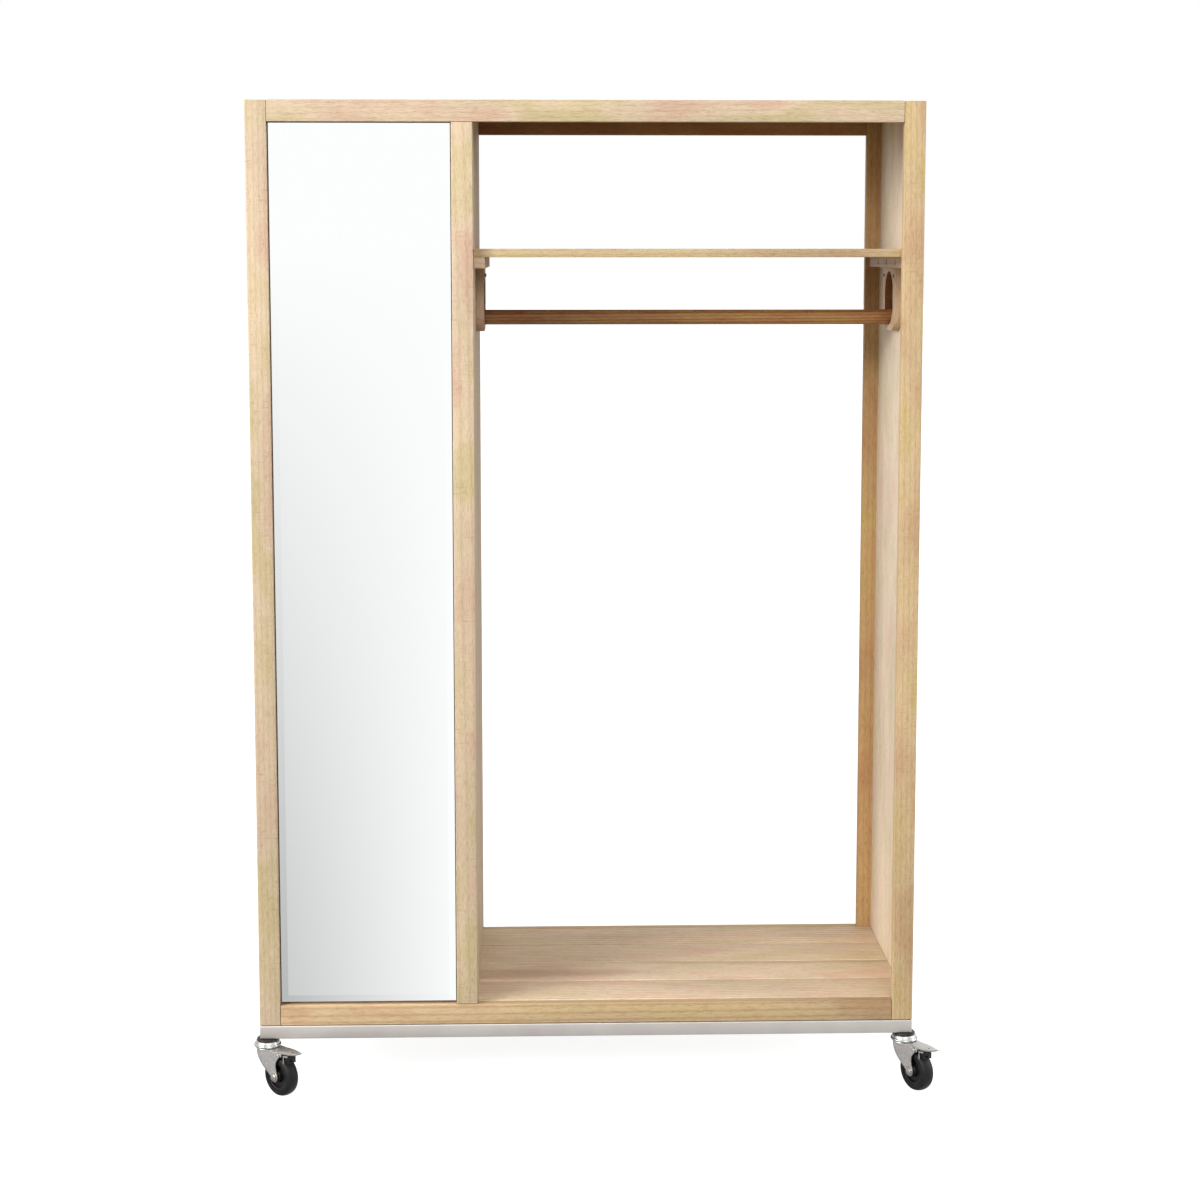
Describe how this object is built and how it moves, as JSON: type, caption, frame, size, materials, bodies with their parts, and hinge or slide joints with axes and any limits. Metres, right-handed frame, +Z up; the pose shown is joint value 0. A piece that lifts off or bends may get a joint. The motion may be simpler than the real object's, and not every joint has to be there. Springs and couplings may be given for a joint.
{
  "type": "rolling clothes rack",
  "caption": "Open timber clothes rack with a tall mirror bay, a shelf, a hanging rod in ring brackets and a slatted floor, on a steel base with braked swivel casters.",
  "frame": {"origin": "on the floor, under the middle of the timber frame's plan", "axes": "+X to the right seen from the front, +Y to the back, +Z up; the front face looks along -Y"},
  "size_m": [1.2812, 0.6352, 1.8],
  "materials": {
    "frame_wood": "sawn and oiled pale softwood",
    "panel_wood": "satin pale softwood",
    "board_wood": "satin pale softwood",
    "batten_wood": "planed softwood",
    "dowel_wood": "satin brown dowel",
    "hardboard": "matte fibreboard",
    "mirror": "silvered glass",
    "base_steel": "bare mill steel, satin",
    "race_chrome": "bright plated",
    "zinc_fork": "zinc plated",
    "zinc_pedal": "zinc plated",
    "axle_steel": "zinc plated",
    "caster_tyre": "matte black",
    "caster_hub": "matte black",
    "screw_steel": "satin"
  },
  "bodies": {
    "rack": {"base_front_tube": "base_steel", "base_left_tube": "base_steel", "base_rear_tube": "base_steel", "base_right_tube": "base_steel", "caster_heads": "race_chrome", "divider_panel": "panel_wood", "floor_bearers": "batten_wood", "floor_board_1": "board_wood", "floor_board_2": "board_wood", "floor_board_3": "board_wood", "floor_board_4": "board_wood", "front_bottom_rail": "frame_wood", "front_divider_post": "frame_wood", "front_left_post": "frame_wood", "front_right_post": "frame_wood", "front_top_rail": "frame_wood", "left_rod_ring": "batten_wood", "left_shelf_cleat": "batten_wood", "left_side_panel": "panel_wood", "mirror_backing": "hardboard", "mirror_battens": "batten_wood", "mirror_glass": "mirror", "rear_bottom_rail": "frame_wood", "rear_divider_post": "frame_wood", "rear_left_post": "frame_wood", "rear_right_post": "frame_wood", "rear_top_rail": "frame_wood", "right_rod_ring": "batten_wood", "right_shelf_cleat": "batten_wood", "right_side_panel": "panel_wood", "shelf": "board_wood", "shelf_screws": "screw_steel", "top_panel": "panel_wood"},
    "front_left_fork": {"front_left_caster_fork": "zinc_fork", "front_left_caster_axle": "axle_steel"},
    "front_left_wheel": {"front_left_caster_tyre": "caster_tyre", "front_left_caster_hub": "caster_hub"},
    "front_left_pedal": {"front_left_caster_pedal": "zinc_pedal"},
    "front_right_fork": {"front_right_caster_fork": "zinc_fork", "front_right_caster_axle": "axle_steel"},
    "front_right_wheel": {"front_right_caster_tyre": "caster_tyre", "front_right_caster_hub": "caster_hub"},
    "front_right_pedal": {"front_right_caster_pedal": "zinc_pedal"},
    "rear_left_fork": {"rear_left_caster_fork": "zinc_fork", "rear_left_caster_axle": "axle_steel"},
    "rear_left_wheel": {"rear_left_caster_tyre": "caster_tyre", "rear_left_caster_hub": "caster_hub"},
    "rear_left_pedal": {"rear_left_caster_pedal": "zinc_pedal"},
    "rear_right_fork": {"rear_right_caster_fork": "zinc_fork", "rear_right_caster_axle": "axle_steel"},
    "rear_right_wheel": {"rear_right_caster_tyre": "caster_tyre", "rear_right_caster_hub": "caster_hub"},
    "rear_right_pedal": {"rear_right_caster_pedal": "zinc_pedal"},
    "rod": {"hanging_rod": "dowel_wood"}
  },
  "joints": [
    {"name": "front_left_swivel", "type": "hinge", "parent": "rack", "child": "front_left_fork", "pos_m": [-0.5875, -0.2275, 0.09], "axis": [0, 0, 1], "continuous": true},
    {"name": "front_left_roll", "type": "hinge", "parent": "front_left_fork", "child": "front_left_wheel", "pos_m": [-0.56017, -0.2539, 0.0375], "axis": [0.6947, 0.7193, 0], "continuous": true},
    {"name": "front_left_brake", "type": "hinge", "parent": "front_left_fork", "child": "front_left_pedal", "pos_m": [-0.55441, -0.25945, 0.08], "axis": [0.6947, 0.7193, 0], "range_deg": [0, 6]},
    {"name": "front_right_swivel", "type": "hinge", "parent": "rack", "child": "front_right_fork", "pos_m": [0.5875, -0.2275, 0.09], "axis": [0, 0, 1], "continuous": true},
    {"name": "front_right_roll", "type": "hinge", "parent": "front_right_fork", "child": "front_right_wheel", "pos_m": [0.6065, -0.26041, 0.0375], "axis": [0.866, 0.5, 0], "continuous": true},
    {"name": "front_right_brake", "type": "hinge", "parent": "front_right_fork", "child": "front_right_pedal", "pos_m": [0.6105, -0.26734, 0.08], "axis": [0.866, 0.5, 0], "range_deg": [0, 6]},
    {"name": "rear_left_swivel", "type": "hinge", "parent": "rack", "child": "rear_left_fork", "pos_m": [-0.5875, 0.2275, 0.09], "axis": [0, 0, 1], "continuous": true},
    {"name": "rear_left_roll", "type": "hinge", "parent": "rear_left_fork", "child": "rear_left_wheel", "pos_m": [-0.6065, 0.26041, 0.0375], "axis": [-0.866, -0.5, 0], "continuous": true},
    {"name": "rear_left_brake", "type": "hinge", "parent": "rear_left_fork", "child": "rear_left_pedal", "pos_m": [-0.6105, 0.26734, 0.08], "axis": [-0.866, -0.5, 0], "range_deg": [0, 6]},
    {"name": "rear_right_swivel", "type": "hinge", "parent": "rack", "child": "rear_right_fork", "pos_m": [0.5875, 0.2275, 0.09], "axis": [0, 0, 1], "continuous": true},
    {"name": "rear_right_roll", "type": "hinge", "parent": "rear_right_fork", "child": "rear_right_wheel", "pos_m": [0.56017, 0.2539, 0.0375], "axis": [-0.6947, -0.7193, 0], "continuous": true},
    {"name": "rear_right_brake", "type": "hinge", "parent": "rear_right_fork", "child": "rear_right_pedal", "pos_m": [0.55441, 0.25945, 0.08], "axis": [-0.6947, -0.7193, 0], "range_deg": [0, 6]},
    {"name": "rod_roll", "type": "hinge", "parent": "rack", "child": "rod", "pos_m": [0.19, 0, 1.448], "axis": [1, 0, 0], "range_deg": [-50, 50]}
  ]
}
